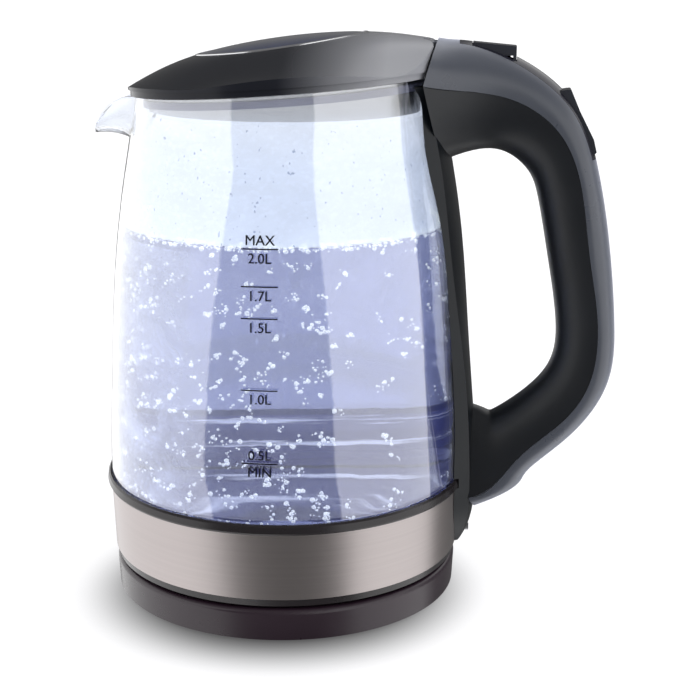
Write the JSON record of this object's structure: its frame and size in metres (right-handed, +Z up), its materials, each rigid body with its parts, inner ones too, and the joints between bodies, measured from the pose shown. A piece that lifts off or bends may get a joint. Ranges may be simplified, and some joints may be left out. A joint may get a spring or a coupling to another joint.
{
  "type": "cordless glass electric kettle",
  "caption": "Glass jug kettle with a hinged lid, pouring spout and loop handle, standing on a separate round power base.",
  "frame": {"origin": "centre of the power base's foot ring, on the surface that the kettle stands on", "axes": "+Z up along the jug's axis, +X from the spout towards the handle, +Y to the side away from the litre scale"},
  "size_m": [0.2292, 0.162, 0.2471],
  "materials": {
    "base_plastic": "glossy dark plum-black moulded plastic",
    "skirt_plastic": "satin-gloss dark brown-grey moulded plastic",
    "handle_plastic": "satin charcoal moulded plastic",
    "handle_shell_plastic": "satin charcoal moulded plastic, a shade lighter",
    "lid_plastic": "gloss dark blue-grey moulded plastic",
    "inlay_plastic": "gloss black moulded plastic",
    "inner_plastic": "plain black engineering plastic",
    "steel_brushed": "brushed stainless steel, brushed round the band",
    "steel_bright": "bright stainless steel",
    "screw_steel": "zinc-plated steel",
    "glass_clear": "clear borosilicate glass",
    "silicone": "translucent white silicone",
    "rubber_black": "black rubber",
    "contact_brass": "plain brass",
    "heater_aluminium": "die-cast aluminium",
    "board_green": "green coated circuit board",
    "lamp_white": "clear blue-white lamp lens",
    "wire_sleeve": "glass-fibre and silicone sleeve"
  },
  "bodies": {
    "base": {"base_housing": "base_plastic", "base_cover": "inner_plastic", "base_foot_ring": "rubber_black", "base_screws": "screw_steel", "base_connector": "inner_plastic", "base_contacts": "contact_brass", "cord_inlet": "inner_plastic"},
    "socket": {"jug_connector": "inner_plastic", "jug_contacts": "contact_brass"},
    "jug": {"bottom_cover": "skirt_plastic", "jug_screws": "screw_steel", "steel_band": "steel_brushed", "jug_carrier": "inner_plastic", "trim_ring": "skirt_plastic", "glass_seal": "silicone", "heating_plate": "steel_bright", "heat_spreader": "heater_aluminium", "heating_element": "steel_bright", "control_unit": "inner_plastic", "led_board": "board_green", "led_lamps": "lamp_white", "glass_jug": "glass_clear", "handle_spine": "handle_plastic", "handle_outer_shell": "handle_shell_plastic", "handle_inner_shell": "handle_plastic", "handle_inlay": "inlay_plastic", "mechanism_tray": "inner_plastic", "hinge_pin": "steel_bright", "button_spring": "steel_bright", "switch_axle": "screw_steel", "steam_switch": "inner_plastic", "wire_loom": "wire_sleeve", "handle_screws": "screw_steel"},
    "lid": {"lid_shell": "lid_plastic", "lid_insert": "lid_plastic", "lid_trim_ring": "steel_bright", "lid_catch": "screw_steel", "lid_cup": "steel_brushed", "lid_seal": "silicone"},
    "release_button": {"release_button": "handle_plastic"},
    "latch": {"latch_slider": "inner_plastic"},
    "power_switch": {"power_switch": "handle_plastic"}
  },
  "joints": [
    {"name": "jug_lift", "type": "slide", "parent": "base", "child": "socket", "axis": [0, 0, 1], "range_m": [0, 0.04]},
    {"name": "jug_swivel", "type": "hinge", "parent": "socket", "child": "jug", "pos_m": [0, 0, 0.0173], "axis": [0, 0, 1], "continuous": true},
    {"name": "lid_hinge", "type": "hinge", "parent": "jug", "child": "lid", "pos_m": [0.0621, 0, 0.2418], "axis": [0, 1, 0], "range_deg": [0, 75]},
    {"name": "button_press", "type": "slide", "parent": "jug", "child": "release_button", "axis": [0, 0, -1], "range_m": [0, 0.003], "stiffness_N_per_m": 600, "springref_m": -0.002, "deforming": ["button_spring"]},
    {"name": "latch_slide", "type": "slide", "parent": "jug", "child": "latch", "axis": [1, 0, 0], "range_m": [0, 0.003]},
    {"name": "switch_rock", "type": "hinge", "parent": "jug", "child": "power_switch", "pos_m": [0.1225, 0, 0.2087], "axis": [0, -1, 0], "range_deg": [0, 8]}
  ],
  "couplings": [
    {"joint": "latch_slide", "follows": "button_press", "ratio": 1}
  ]
}
